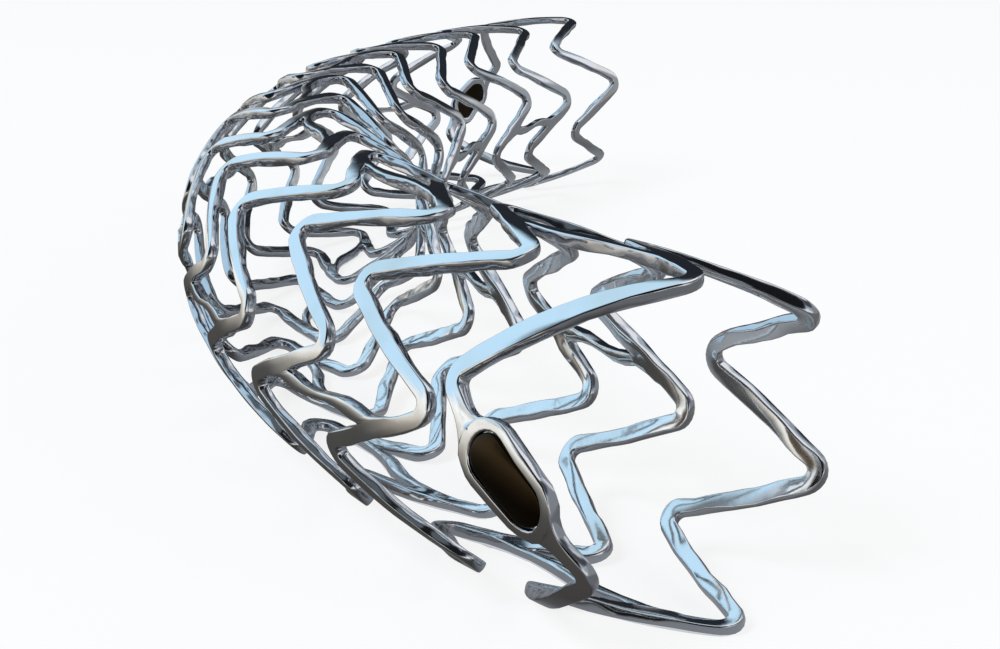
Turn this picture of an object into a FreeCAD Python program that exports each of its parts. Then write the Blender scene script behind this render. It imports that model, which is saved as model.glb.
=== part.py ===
"""Resorbable vascular scaffold, 3.1 mm across, bent to a quarter turn and lying flat.

One lattice of 14 zigzag rings cut from a tube, joined by two links in each gap, with a marker
set in an eyelet of each end ring. All lengths are millimetres, all angles degrees.

The lattice is laid out on the tube's outer skin by spots of two coordinates: along, the distance
along the middle line of the bent tube, and around, the angle about that line, 0 on the outside of
the bend and 90 on top. Every bar is a band with a left and a right edge, each drawn on the outer
and on the inner skin, so that the cut walls stand square to the skin, as a laser leaves them.
"""
import FreeCAD, Part
import math
import os
from FreeCAD import Vector

os.makedirs("parts", exist_ok=True)

SIZES = (
    ("outer_diameter", 3.1, "tube across its outer skin, expanded"),
    ("wall", 0.105, "thickness of the tube wall"),
    ("strut_width", 0.165, "width of a strut on the outer skin"),
    ("bend_radius", 13.9, "middle line of the bent tube"),
    ("ring_count", 14, "zigzag rings along the tube"),
    ("crown_count", 6, "near crowns of a ring, and as many far ones"),
    ("ring_pitch", 1.53, "from ring to ring along the middle line"),
    ("ring_length", 1.72, "corner to corner of a ring's zigzag, along the tube"),
    ("ring_stagger", 0.06, "shift between even and odd rings along the tube"),
    ("ring_roll", 75.8, "angle of the first near corner"),
    ("ring_sway", 3.0, "roll of even rings one way and of odd rings the other"),
    ("end_gap", 0.1, "how much further out than the pitch each end ring stands"),
    ("crown_radius", 0.145, "middle line of a strut round its crown"),
    ("link_width", 0.115, "width of a link"),
    ("link_wave", 0.035, "sideways wave of a link"),
    ("link_fillet", 0.14, "length of the fillet where a link runs into a strut"),
    ("marker_length", 0.87, "marker from end to end"),
    ("marker_width", 0.42, "marker across"),
    ("eyelet_wall", 0.11, "metal round a marker"),
    ("eyelet_tilt", 33.0, "slope of an eyelet against the tube's axis"),
    ("eyelet_flare", 42.0, "reach of a strut's flare round the eyelet's end"),
    ("eyelet_span", 46.0, "angle around the tube between the crowns beside an eyelet"),
    ("eyelet_roll", 2.4, "how far the eyelet lies below the middle of its place in the ring"),
    ("eyelet_recess", 0.24, "how far the two crowns beside an eyelet stay back from the open end"),
    ("eyelet_lean", 3.0, "how far the second of those crowns turns away from the eyelet"),
    ("broad_belly", 0.03, "how far each edge of the broad strut beside an eyelet bellies out"),
)
LEFT, RIGHT = 0, 1

# Spots that an edge is drawn through, counted as spans between them.
CROWN_SPAN_COUNT = 6
STRUT_SPAN_COUNT = 3
LINK_SPAN_COUNT = 4
EYELET_SPAN_COUNT = 2

# How far a flare keeps to the direction of the strut before it opens, as a share of its length.
FLARE_PULL = 0.4


def write_sheet(document):
    """Spreadsheet with one driving dimension to a row, each under its own alias."""
    table = document.addObject("Spreadsheet::Sheet", "sizes")
    for row, (alias, value, note) in enumerate(SIZES, start=1):
        table.set(f"A{row}", alias)
        table.set(f"B{row}", str(value))
        table.set(f"C{row}", note)
        table.setAlias(f"B{row}", alias)
    document.recompute()
    return table


doc = FreeCAD.newDocument("vascular_scaffold")
sheet = write_sheet(doc)

OUTER = sheet.outer_diameter / 2
INNER = OUTER - sheet.wall
RINGS = int(sheet.ring_count)
CORNERS = 2 * int(sheet.crown_count)
STEP = 2 * math.pi / CORNERS
MID_LENGTH = (RINGS - 1) * sheet.ring_pitch / 2


def place(spot, radius):
    """Point in space of a spot on the bent tube, at a radius from its middle line."""
    along, around = spot
    turn = (along - MID_LENGTH) / sheet.bend_radius
    reach = sheet.bend_radius + radius * math.cos(around)
    return Vector(-reach * math.sin(turn), -reach * math.cos(turn), radius * math.sin(around))


class Grid:
    """Flat millimetre grid on the outer skin about one spot: x along the tube, y around it."""

    def __init__(self, origin):
        self.along, self.around = origin
        self.stretch = 1 + OUTER * math.cos(self.around) / sheet.bend_radius

    def flat(self, spot):
        return (spot[0] - self.along) * self.stretch, (spot[1] - self.around) * OUTER

    def spot(self, x, y):
        return self.along + x / self.stretch, self.around + y / OUTER


def between(start, end, share):
    """Spot at a share of the way from one spot to another."""
    return start[0] + (end[0] - start[0]) * share, start[1] + (end[1] - start[1]) * share


def eased(share, start, leaving, arriving, end):
    """Value at a share of a cubic from start to end with a pull at each of them."""
    rest = 1 - share
    near = rest ** 3 * start + 3 * rest ** 2 * share * (start + leaving)
    far = 3 * rest * share ** 2 * (end - arriving) + share ** 3 * end
    return near + far


def row(start, end, spans):
    """Evenly spaced spots from one spot to another."""
    return [between(start, end, n / spans) for n in range(spans + 1)]


class Edge:
    """Edge of a band through a row of spots, on the outer and on the inner skin."""

    def __init__(self, spots):
        self.outer = self.draw([place(spot, OUTER) for spot in spots])
        self.inner = self.draw([place(spot, INNER) for spot in spots])

    @staticmethod
    def draw(points):
        if len(points) == 2:
            return Part.LineSegment(*points).toShape()
        curve = Part.BSplineCurve()
        curve.interpolate(Points=points, Parameters=list(range(len(points))))
        return curve.toShape()

    def wall(self):
        """Cut wall from the outer skin to the inner."""
        return Part.makeRuledSurface(self.outer, self.inner)


def bar(left, right, walled=(LEFT, RIGHT)):
    """Faces of one stretch of band: both skins, and the walls of its walled sides."""
    faces = [
        Part.makeRuledSurface(left.outer, right.outer),
        Part.makeRuledSurface(left.inner, right.inner),
    ]
    return faces + [(left, right)[side].wall() for side in walled]


def flats(left, right, walled=(LEFT, RIGHT)):
    """Faces of a band between two rows of spots, one short stretch to each span."""
    faces = []
    for n in range(len(left) - 1):
        faces += bar(Edge(left[n:n + 2]), Edge(right[n:n + 2]), walled)
    return faces


def walls(spots):
    """Cut walls along a row of spots, one flat to each span."""
    return [Edge(spots[n:n + 2]).wall() for n in range(len(spots) - 1)]


def facets(triangles):
    """Flat triangles of spots, on both skins."""
    faces = []
    for radius in (OUTER, INNER):
        for spots in triangles:
            points = [place(spot, radius) for spot in spots]
            faces.append(Part.Face(Part.makePolygon([*points, points[0]])))
    return faces


class Crown:
    """Rounded crown of a zigzag.

    The outside of the bend is an arc of short flats. The inside is tighter than a strut is thick,
    so two flats make it.
    """

    def __init__(self, before, corner, after):
        grid = Grid(corner)
        before_x, before_y = grid.flat(before)
        after_x, after_y = grid.flat(after)
        arriving = math.atan2(-before_y, -before_x)
        leaving = math.atan2(after_y, after_x)
        turn = (leaving - arriving + math.pi) % (2 * math.pi) - math.pi
        hand = math.copysign(1, turn)
        radius = sheet.crown_radius
        reach = radius * math.tan(abs(turn) / 2)
        side = arriving - hand * math.pi / 2
        centre_x = -reach * math.cos(arriving) - radius * math.cos(side)
        centre_y = -reach * math.sin(arriving) - radius * math.sin(side)

        def arc(distance, spans):
            spots = []
            for n in range(spans + 1):
                angle = side + turn * n / spans
                x = centre_x + distance * math.cos(angle)
                y = centre_y + distance * math.sin(angle)
                spots.append(grid.spot(x, y))
            return spots

        self.outside = arc(radius + sheet.strut_width / 2, CROWN_SPAN_COUNT)
        self.inside = arc(radius - sheet.strut_width / 2, 2)
        self.turns_left = hand > 0

    def station(self, n):
        """Left and right spot where the crown begins, n = 0, or ends, n = -1."""
        pair = (self.inside[n], self.outside[n])
        return pair if self.turns_left else pair[::-1]

    def faces(self):
        triangles = []
        for n in range(CROWN_SPAN_COUNT):
            nearest = n * len(self.inside) // CROWN_SPAN_COUNT
            triangles.append((self.inside[nearest], *self.outside[n:n + 2]))
        for n in (0, 1):
            nearest = (n + 1) * CROWN_SPAN_COUNT // len(self.inside)
            triangles.append((*self.inside[n:n + 2], self.outside[nearest]))
        return walls(self.outside) + walls(self.inside) + facets(triangles)


def ring_corners(ring):
    """Corners of a ring's zigzag, from the top round the outside of the bend, near and far in turn."""
    sign = 1 if ring % 2 == 0 else -1
    outward = {0: -1, RINGS - 1: 1}.get(ring, 0)
    middle = ring * sheet.ring_pitch - sign * sheet.ring_stagger / 2 + outward * sheet.end_gap
    first = math.radians(sheet.ring_roll + sign * sheet.ring_sway)
    corners = []
    for k in range(CORNERS):
        side = -1 if k % 2 == 0 else 1
        corners.append((middle + side * sheet.ring_length / 2, first - k * STEP))
    return corners


def end_ring_corners(ring):
    """Corners of an end ring, where two wide-set corners after the first replace four plain ones.

    The strut between those two carries the eyelet. At the open end its crown and the next one, at
    the other end of the broad strut, stay back a little.
    """
    corners = ring_corners(ring)
    middle = (corners[0][1] + corners[5][1]) / 2 - math.radians(sheet.eyelet_roll)
    half = math.radians(sheet.eyelet_span) / 2
    lean = math.radians(sheet.eyelet_lean)
    above, below = corners[1][0], corners[2][0]
    if ring == 0:
        below += sheet.eyelet_recess
        corners[0] = (corners[0][0] + sheet.eyelet_recess, corners[0][1] + lean)
    else:
        above -= sheet.eyelet_recess
        corners[5] = (corners[5][0] - sheet.eyelet_recess, corners[5][1] - lean)
    return [corners[0], (above, middle + half), (below, middle - half), *corners[5:]]


def link_angles(gap):
    """Angles of the two links in a gap: top and bottom in even gaps, both sides in odd ones."""
    quarter = 2 * (int(sheet.crown_count) // 4) + 1
    first = -0.5 if gap % 2 == 0 else quarter - 0.5
    opposite = 2 * (int(sheet.crown_count) // 2)
    return [math.radians(sheet.ring_roll) - (first + extra) * STEP for extra in (0, opposite)]


def turned(spot, turns):
    """The same place on the tube with its angle counted some full turns on."""
    return spot[0], spot[1] + turns * 2 * math.pi


def length_of(start, end):
    return math.hypot(*Grid(start).flat(end))


class Strut:
    """Straight run of a ring between two crowns, from its first station to its last.

    A station is a pair of spots: left, which faces the far end, and right, which faces the near end.
    A broad strut bellies out toward its middle on both sides.
    """

    def __init__(self, start, end, belly=0):
        self.start = start
        self.end = end
        self.belly = belly
        self.open_side = None
        self.marks = [0, 1]

    def at(self, side, share):
        left, right = (between(self.start[n], self.end[n], share) for n in (LEFT, RIGHT))
        spread = self.belly / sheet.strut_width * math.sin(math.pi * share)
        return between(right, left, 1 + spread) if side == LEFT else between(left, right, 1 + spread)

    def land(self, side, angle):
        """Opens a side for a link at an angle and returns the link's two corners and two root spots.

        The upper edge of the link comes first, the lower second. Where strut and link meet at a
        blunt angle, the root lies a fillet's length beyond the corner.
        """
        first, last = self.start[side][1], self.end[side][1]
        half = sheet.link_width / 2 / OUTER
        upper = (first - angle - half) / (first - last)
        lower = (first - angle + half) / (first - last)
        reach = sheet.link_fillet / length_of(self.start[side], self.end[side])
        toward_far = self.end[side][0] > self.start[side][0]
        blunt_above = toward_far == (side == LEFT)
        roots = (upper - reach, lower) if blunt_above else (upper, lower + reach)
        self.open_side = side
        self.marks = [0, *roots, 1]
        corners = [self.at(side, share) for share in (upper, lower)]
        return corners, [self.at(side, share) for share in roots]

    def faces(self):
        faces = []
        for n in range(len(self.marks) - 1):
            open_side = self.open_side if n == 1 else None
            edges = []
            first, last = self.marks[n:n + 2]
            for side in (LEFT, RIGHT):
                spans = 1 if side == open_side else STRUT_SPAN_COUNT
                shares = [first + (last - first) * k / spans for k in range(spans + 1)]
                edges.append(Edge([self.at(side, share) for share in shares]))
            faces += bar(*edges, [side for side in (LEFT, RIGHT) if side != open_side])
        return faces


def link_edge(corners, roots):
    """Spots of one edge of a link, from its root on one ring to its root on the next."""
    start, end = corners
    fillet = sheet.link_fillet / length_of(start, end)
    spots = []
    for n in range(LINK_SPAN_COUNT + 1):
        share = fillet + (1 - 2 * fillet) * n / LINK_SPAN_COUNT
        along, around = between(start, end, share)
        wave = sheet.link_wave * math.sin(2 * math.pi * n / LINK_SPAN_COUNT) / OUTER
        spots.append((along, around + wave))
    begin = [roots[0], fillet_middle(roots[0], start, spots[0])]
    finish = [fillet_middle(roots[1], end, spots[-1]), roots[1]]
    return begin + spots + finish


def fillet_middle(root, corner, first):
    """Spot midway from a root on a strut to the first spot of the link, rounding a blunt corner."""
    return between(between(root, corner, 0.5), between(corner, first, 0.5), 0.5)


def link_faces(near_strut, far_strut, angle):
    """Wavy link from the left side of a strut to the right side of one on the next ring."""
    near_corners, near_roots = near_strut.land(LEFT, angle)
    far_corners, far_roots = far_strut.land(RIGHT, angle)
    edges = []
    for n in (0, 1):
        edges.append(link_edge((near_corners[n], far_corners[n]), (near_roots[n], far_roots[n])))
    return flats(*edges)


class Eyelet:
    """Oblong eyelet in the middle of a strut, laid out on its own axis, u forward and v to the left."""

    def __init__(self, before, after):
        self.grid = Grid(between(before, after, 0.5))
        tilt = math.radians(sheet.eyelet_tilt)
        forward = math.copysign(math.cos(tilt), after[0] - before[0])
        self.heading = math.atan2(-math.sin(tilt), forward)
        self.half_run = (sheet.marker_length - sheet.marker_width) / 2
        flare = math.radians(sheet.eyelet_flare)
        right = math.pi / 2
        self.arcs = (
            (1, -flare, flare), (1, flare, right), (-1, right, math.pi - flare),
            (-1, math.pi - flare, math.pi + flare), (-1, math.pi + flare, 3 * right), (1, -right, -flare),
        )
        outside = sheet.marker_width / 2 + sheet.eyelet_wall
        self.hole = self.outline(sheet.marker_width / 2)
        self.rim = self.outline(outside)
        self.exit = (self.on_arc(1, flare, outside), self.on_arc(1, -flare, outside))
        self.entry = (self.on_arc(-1, math.pi - flare, outside), self.on_arc(-1, math.pi + flare, outside))

    def spot(self, u, v):
        cosine, sine = math.cos(self.heading), math.sin(self.heading)
        return self.grid.spot(u * cosine - v * sine, u * sine + v * cosine)

    def on_arc(self, end, angle, radius):
        return self.spot(end * self.half_run + radius * math.cos(angle), radius * math.sin(angle))

    def outline(self, radius):
        """Rows of spots round an outline: three rows to each end and one to each long side."""
        rows = []
        for n, (end, first, last) in enumerate(self.arcs):
            spans = 2 * EYELET_SPAN_COUNT if n in (0, 3) else EYELET_SPAN_COUNT
            angles = [first + (last - first) * k / spans for k in range(spans + 1)]
            rows.append([self.on_arc(end, angle, radius) for angle in angles])
        rows.insert(2, row(rows[1][-1], rows[2][0], EYELET_SPAN_COUNT))
        rows.insert(6, row(rows[5][-1], rows[6][0], EYELET_SPAN_COUNT))
        return rows

    def faces(self):
        """The eyelet's metal. Its walls stay open where the strut's two flares run into it."""
        faces = []
        for n, (hole, rim) in enumerate(zip(self.hole, self.rim)):
            if n in (0, 4):
                faces += walls(hole) + facets(self.joint_triangles(hole, rim[0], rim[-1]))
            else:
                faces += flats(hole, rim)
        return faces

    @staticmethod
    def joint_triangles(arc, first, last):
        """Triangles between the arc of a hole's end and the straight line where a flare begins."""
        middle = len(arc) // 2
        triangles = [(first, last, arc[middle])]
        for n in range(len(arc) - 1):
            triangles.append((first if n < middle else last, *arc[n:n + 2]))
        return triangles

    def flare(self, start, end, start_headings, end_headings):
        """Faces of the band that widens from a strut's station into the eyelet, or narrows out of it."""
        edges = []
        for side in (LEFT, RIGHT):
            first = self.grid.flat(start[side])
            last = self.grid.flat(end[side])
            pull = math.hypot(last[0] - first[0], last[1] - first[1]) * FLARE_PULL
            spots = []
            for n in range(STRUT_SPAN_COUNT + 1):
                share = n / STRUT_SPAN_COUNT
                point = [
                    eased(share, first[axis], pull * turn(start_headings[side]),
                          pull * turn(end_headings[side]), last[axis])
                    for axis, turn in ((0, math.cos), (1, math.sin))
                ]
                spots.append(self.grid.spot(*point))
            spots[0], spots[-1] = start[side], end[side]
            edges.append(Edge(spots))
        return bar(*edges)

    def strut_heading(self, station):
        """Direction of a band at one of its stations, square to the line from right to left."""
        left, right = self.grid.flat(station[LEFT]), self.grid.flat(station[RIGHT])
        return math.atan2(right[0] - left[0], left[1] - right[1])

    def strut_faces(self, start, end):
        """The whole strut from one crown's last station, through the eyelet, to the next crown's first."""
        flare = math.radians(sheet.eyelet_flare)
        spread = (self.heading + math.pi / 2 - flare, self.heading - math.pi / 2 + flare)
        closing = (spread[1], spread[0])
        arriving = self.strut_heading(start)
        leaving = self.strut_heading(end)
        return (
            self.flare(start, self.entry, (arriving, arriving), spread)
            + self.faces()
            + self.flare(self.exit, end, closing, (leaving, leaving))
        )

    def marker_faces(self):
        """The marker that fills the hole: the same walls, and strips straight across both skins."""
        faces = []
        for spots in self.hole:
            faces += walls(spots)
        for n, opposite in ((1, 7), (2, 6), (3, 5)):
            faces += flats(self.hole[n], self.hole[opposite][::-1], walled=())
        for n in (0, 4):
            faces += facets(self.joint_triangles(self.hole[n][1:-1], self.hole[n][0], self.hole[n][-1]))
        return faces


def closed_solid(faces):
    """Solid inside a closed set of faces that share their edges."""
    skin = Part.Compound(faces)
    skin.sewShape()
    if len(skin.Shells) != 1 or not skin.Shells[0].isClosed():
        raise ValueError("the faces of a piece don't close")
    solid = Part.Solid(skin.Shells[0])
    if solid.Volume < 0:
        solid.reverse()
    return solid


def build_lattice():
    """Faces of the whole lattice, and its eyelets."""
    faces = []
    eyelets = []
    struts = []
    for ring in range(RINGS):
        carrier = broad = None
        corners = ring_corners(ring)
        if ring in (0, RINGS - 1):
            corners = end_ring_corners(ring)
            carrier = 1
            broad = 0 if ring == 0 else 2
        around = [turned(corners[-1], 1), *corners, turned(corners[0], -1)]
        crowns = [Crown(*around[n:n + 3]) for n in range(len(corners))]
        faces += [face for crown in crowns for face in crown.faces()]
        starts = [crown.station(0) for crown in crowns]
        ends = [crown.station(-1) for crown in crowns]
        starts.append(tuple(turned(spot, -1) for spot in starts[0]))
        runs = []
        for n, start in enumerate(ends):
            if n == carrier:
                eyelet = Eyelet(corners[n], corners[n + 1])
                eyelets.append(eyelet)
                faces += eyelet.strut_faces(start, starts[n + 1])
            else:
                runs.append(Strut(start, starts[n + 1], sheet.broad_belly if n == broad else 0))
        struts.append(runs)
    for gap in range(RINGS - 1):
        for angle in link_angles(gap):
            near, far = (strut_at(runs, angle) for runs in struts[gap:gap + 2])
            faces += link_faces(near[0], far[0], near[1])
    for runs in struts:
        for run in runs:
            faces += run.faces()
    return faces, eyelets


def strut_at(runs, angle):
    """The strut of a ring that crosses an angle, and that angle counted as the strut counts its own."""
    for run in runs:
        for turns in (0, -1):
            counted = angle + turns * 2 * math.pi
            if run.end[LEFT][1] < counted < run.start[LEFT][1]:
                return run, counted
    raise ValueError("no strut crosses the angle of a link")


def add_piece(label, solid):
    piece = doc.addObject("Part::Feature", label)
    piece.Label = label
    piece.Shape = solid
    return piece


lattice_faces, eyelets = build_lattice()
scaffold = add_piece("scaffold", closed_solid(lattice_faces))
markers = []
for name, eyelet in zip(("proximal_marker", "distal_marker"), eyelets):
    markers.append(add_piece(name, closed_solid(eyelet.marker_faces())))

box = scaffold.Shape.optimalBoundingBox(False)
seat = Vector(-(box.XMin + box.XMax) / 2, -(box.YMin + box.YMax) / 2, -box.ZMin)
pieces = [scaffold, *markers]
for piece in pieces:
    piece.Placement = FreeCAD.Placement(seat, FreeCAD.Rotation())
doc.recompute()

for item in doc.Objects:
    if "Invalid" in item.State or "Error" in item.State:
        raise RuntimeError(f"{item.Label} failed to build")
for piece in pieces:
    if piece.Shape.isNull() or not piece.Shape.isValid():
        raise RuntimeError(f"{piece.Label} has no valid shape")
    piece.Shape.exportStep(f"parts/{piece.Label}.step")
    print(piece.Label, "volume", round(piece.Shape.Volume, 5), "faces", len(piece.Shape.Faces))
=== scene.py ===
"""Looks of the resorbable vascular scaffold: its electropolished lattice, both markers and the studio.

The lattice is one closed mesh. Every ring is a band of rounded cross-sections that runs round the tube,
and every link grows out of the side of one band and into the side of the next through a door: a stretch
where the band's side is left open and its rim is the link's first cross-section.

A spot is a pair, along the middle line of the bent tube and around it, 0 on the outside of the bend and
a quarter turn on top. A station is a pair of spots, the left and the right edge of a band.
"""
import math

import bmesh
import bpy
from bpy.props import FloatProperty, FloatVectorProperty, IntProperty, PointerProperty
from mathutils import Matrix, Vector, noise


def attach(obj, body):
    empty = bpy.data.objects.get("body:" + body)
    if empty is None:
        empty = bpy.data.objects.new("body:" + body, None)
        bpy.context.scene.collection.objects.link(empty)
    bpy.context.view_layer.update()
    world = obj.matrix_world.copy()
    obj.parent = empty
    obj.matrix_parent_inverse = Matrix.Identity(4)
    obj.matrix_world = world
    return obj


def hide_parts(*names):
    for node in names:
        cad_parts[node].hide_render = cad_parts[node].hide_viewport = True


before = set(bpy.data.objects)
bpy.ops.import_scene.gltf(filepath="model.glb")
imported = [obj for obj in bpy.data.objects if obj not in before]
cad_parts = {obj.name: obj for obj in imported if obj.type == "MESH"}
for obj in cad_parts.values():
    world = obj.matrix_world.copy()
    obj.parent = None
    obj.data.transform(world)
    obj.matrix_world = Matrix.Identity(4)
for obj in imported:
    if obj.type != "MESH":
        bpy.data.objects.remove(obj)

bl_info = {
    "name": "Vascular scaffold",
    "version": (1, 0, 0),
    "blender": (4, 5, 0),
    "location": "View3D > Sidebar > Scaffold",
    "description": "Builds the looks of a bent lattice scaffold around its CAD frame",
    "category": "Add Mesh",
}

LEFT, RIGHT = 0, 1
MM = 0.001
QUARTER = math.pi / 2
FULL = 2 * math.pi

# Angles and points nearer to each other than this are taken for the same.
SAME_ANGLE = 1e-6
SAME_POINT = 1e-4 * MM

# Cross-section of every band: spans over each skin, and spans down each side.
SKIN_SPANS = 6
SIDE_SPANS = 8
LOOP = 2 * (SKIN_SPANS + SIDE_SPANS)

# Spans along the stretches of a band.
CROWN_SPANS = 8
STRUT_SPANS = 10
LANDING_SPANS = 4
FLARE_SPANS = 6
FILLET_SPANS = 4
LINK_SPANS = 6
ROUND_SPANS = 3

# Spans of a marker: from its core to its rim, round the rim, round an end and along a side.
DOME_SPANS = 4
RIM_SPANS = 4
END_SPANS = 18
EDGE_SPANS = 8

# How strongly a flare's edges keep their headings, as a share of the flare's length.
FLARE_PULL = 0.4
# Weight of large faces over small ones in the shading of smooth edges, where 50 is none.
LARGE_FACE_WEIGHT = 80

# Sizes of the patterns on the surfaces, and the heights of those that stand out. The peel of the
# bath and the drops of the cut are finer on the real tube, about 0.03 mm, which is too fine to show,
# so they are drawn as coarse as they need to show.
FILM_PATCH = 0.9 * MM
HAZE_PATCH = 0.35 * MM
PEEL_PATCH = 0.09 * MM
PEEL_HEIGHT = 0.002 * MM
DROP_PATCH = 0.2 * MM
DROP_HEIGHT = 0.03 * MM
OXIDE_PATCH = 0.2 * MM

# Painted reflections printed on the light dome, which glows and which only polished metal sees:
# bands of painted sky and horizon, and patches of painted sky, shade and softbox. Bands are an
# elevation and a tone. Patches are an azimuth, from straight behind the scaffold and growing to the
# right, an elevation, a radius, a soft rim and a tone.
DOME_BANDS = (
    (0, "#FFFDF8"), (12, "#F2F5F6"), (20, "#CBD7DF"), (32, "#A9B8C6"), (48, "#C2CEDA"), (65, "#D8E0E8"),
    (90, "#B9C3CE"),
)
DOME_PATCHES = (
    (85, 0, 34, 18, "#8E9297"),
    (14, 18, 20, 10, "#22252B"),
    (-150, 38, 34, 12, "#1A1C1F"),
    (120, 50, 18, 10, "#4A4D52"),
    (-48, 30, 35, 8, "#BFE0F5"),
    (-100, 52, 14, 8, "#5E666C"),
    (-104, 2, 7, 5, "#4F4334"),
    (66, 28, 8, 6, "#E0E1E8"),
    (70, 72, 18, 6, "#FFFFFF"),
)
# Dark streaks painted into the dome's reflections, as a tone, a scale and the strongest share, then the
# strength of the dome's painted glow and how finely its ball is divided.
STREAK_TONE = "#2A2C30"
STREAK_SCALE = 5
STREAK_SHARE = 0.65
DOME_GLOW = 1.15
DOME_SUBDIVISIONS = 5

# Painted reflections on the glowing ground sheet that only polished metal sees: painted shade in a
# dark band on both sides of the tube, paler right under it, and painted white light far off. Each is
# a distance in millimetres from under the tube's middle line, outward from the bend, and a tone.
# Past the tube's ends it has a tone of its own, full at the end's reach.
GROUND_TONES = (
    (-30, "#F4F2EE"), (-12, "#C9C7C4"), (-5, "#8A8987"), (-1.6, "#5F6062"), (-0.6, "#9DA1A6"),
    (0.5, "#86898E"), (1, "#454443"), (3.4, "#504F4D"), (4.4, "#6F6C68"), (5.6, "#928E87"),
    (7.2, "#A8A399"), (11, "#DAD5CB"), (18, "#EFEBE3"), (30, "#FFFDF8"),
)
GROUND_REACH = 30 * MM
GROUND_HEIGHT = 0.03 * MM
END_TONE = "#77797C"
END_REACH = 2 * MM

# Floor and surround. The floor's glow is the share of its white that what looks at it is given.
BOARD_TONE = "#F4F4F4"
BOARD_GLOW = 0.8
SURROUND_TONE = "#E8EEF4"
SURROUND_GLOW = 0.5

# Soft square lamps that look at the origin: a place, a side, a power in watts and a tint.
LAMPS = {
    "key": ((0.12, -0.16, 0.2), 0.12, 0.55, "#EAF4FF"),
    "fill": ((0.1, 0.2, 0.12), 0.15, 0.25, "#FFF6EA"),
}

# Nearest and farthest distance that the camera sees, and the width of its sensor in millimetres.
CAMERA_CLIP = (0.5 * MM, 10)
CAMERA_SENSOR = 36


def length(name, description, default):
    """Property for a length of the object, given in millimetres and kept in metres."""
    return FloatProperty(
        name=name, description=description, default=default * MM, unit="LENGTH", precision=6
    )


def angle(name, description, default):
    """Property for an angle, given in degrees."""
    return FloatProperty(
        name=name, description=description, default=math.radians(default), subtype="ANGLE"
    )


def colour(name, description, default):
    """Property for a colour, given as an sRGB hex value."""
    return FloatVectorProperty(
        name=name, description=description, default=linear(default), size=4, subtype="COLOR", min=0, max=1
    )


def linear(hex_value):
    """Linear colour of an sRGB hex value."""
    channels = [int(hex_value[n:n + 2], 16) / 255 for n in (1, 3, 5)]
    return (*[c / 12.92 if c <= 0.04045 else ((c + 0.055) / 1.055) ** 2.4 for c in channels], 1)


class ScaffoldSizes(bpy.types.PropertyGroup):
    """Sizes of the lattice, the same as in its CAD source."""

    outer_diameter: length("Outer diameter", "Tube across its outer skin", 3.1)
    wall: length("Wall", "Thickness of the tube wall", 0.105)
    strut_width: length("Strut width", "Width of a strut on the outer skin", 0.165)
    bend_radius: length("Bend radius", "Middle line of the bent tube", 13.9)
    ring_count: IntProperty(name="Rings", description="Zigzag rings along the tube", default=14)
    crown_count: IntProperty(name="Crowns", description="Near crowns of a ring", default=6)
    ring_pitch: length("Ring pitch", "From ring to ring along the middle line", 1.53)
    ring_length: length("Ring length", "Corner to corner of a ring's zigzag", 1.72)
    ring_stagger: length("Ring stagger", "Shift between even and odd rings", 0.06)
    ring_roll: angle("Ring roll", "Angle of the first near corner", 75.8)
    ring_sway: angle("Ring sway", "Roll of even rings one way and of odd rings the other", 3.0)
    end_gap: length("End gap", "How much further out than the pitch each end ring stands", 0.1)
    crown_radius: length("Crown radius", "Middle line of a strut round its crown", 0.145)
    link_width: length("Link width", "Width of a link", 0.115)
    link_wave: length("Link wave", "Sideways wave of a link", 0.035)
    link_fillet: length("Link fillet", "Length of the fillet where a link runs into a strut", 0.14)
    marker_length: length("Marker length", "Marker from end to end", 0.87)
    marker_width: length("Marker width", "Marker across", 0.42)
    eyelet_wall: length("Eyelet wall", "Metal round a marker", 0.11)
    eyelet_tilt: angle("Eyelet tilt", "Slope of an eyelet against the tube's axis", 33.0)
    eyelet_flare: angle("Eyelet flare", "Reach of a strut's flare round the eyelet's end", 42.0)
    eyelet_span: angle("Eyelet span", "Angle between the crowns beside an eyelet", 46.0)
    eyelet_roll: angle("Eyelet roll", "How far an eyelet lies below the middle of its place", 2.4)
    eyelet_recess: length("Eyelet recess", "How far the crowns beside it stay back from the open end", 0.24)
    eyelet_lean: angle("Eyelet lean", "How far the second of those crowns turns away from it", 3.0)
    broad_belly: length("Broad belly", "How far each edge of the broad strut beside it bellies out", 0.03)
    bend_centre: FloatVectorProperty(
        name="Bend centre", description="Middle of the circle that the tube is bent to", unit="LENGTH",
        precision=6, default=(0.01079 * MM, 12.13499 * MM, 1.55 * MM),
    )


class ScaffoldFinish(bpy.types.PropertyGroup):
    """What polishing leaves on the cut tube, and its colours."""

    edge_round: length("Edge round", "Radius that polishing leaves on every edge", 0.014)
    barrel: length("Barrel", "How far a cut wall bulges between its edges", 0.01)
    wobble: length("Wobble", "How far the inner edges of a strut wander from their drawn line", 0.04)
    outer_wobble: FloatProperty(
        name="Outer wobble", description="Share of it on outer edges", default=0.35, subtype="FACTOR"
    )
    wobble_length: length("Wobble length", "Length of one wander", 0.3)
    swell: length("Swell", "How far the outer skin swells and sinks along a strut", 0.01)
    inner_swell: length("Inner swell", "The same for the inner skin", 0.022)
    swell_length: length("Swell length", "Length of one swell", 0.5)
    marker_seam: length("Marker seam", "Gap between a marker and its eyelet", 0.005)
    marker_round: length("Marker round", "Radius of a marker's rims", 0.022)
    marker_sink: length("Marker sink", "Depth of a marker's rim under the outer skin", 0.012)
    marker_dome: length("Marker dome", "Rise of a marker's middle over its rim", 0.012)
    metal_colour: colour("Metal", "Polished magnesium alloy", "#EEF1F4")
    cut_colour: colour("Cut walls", "Etched magnesium alloy of the cut walls", "#CFD1D6")
    film_colour: colour("Film", "Faint warm film that the bath leaves in patches", "#C9B79E")
    marker_colour: colour("Marker", "Dark oxidised tantalum", "#33291A")


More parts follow.
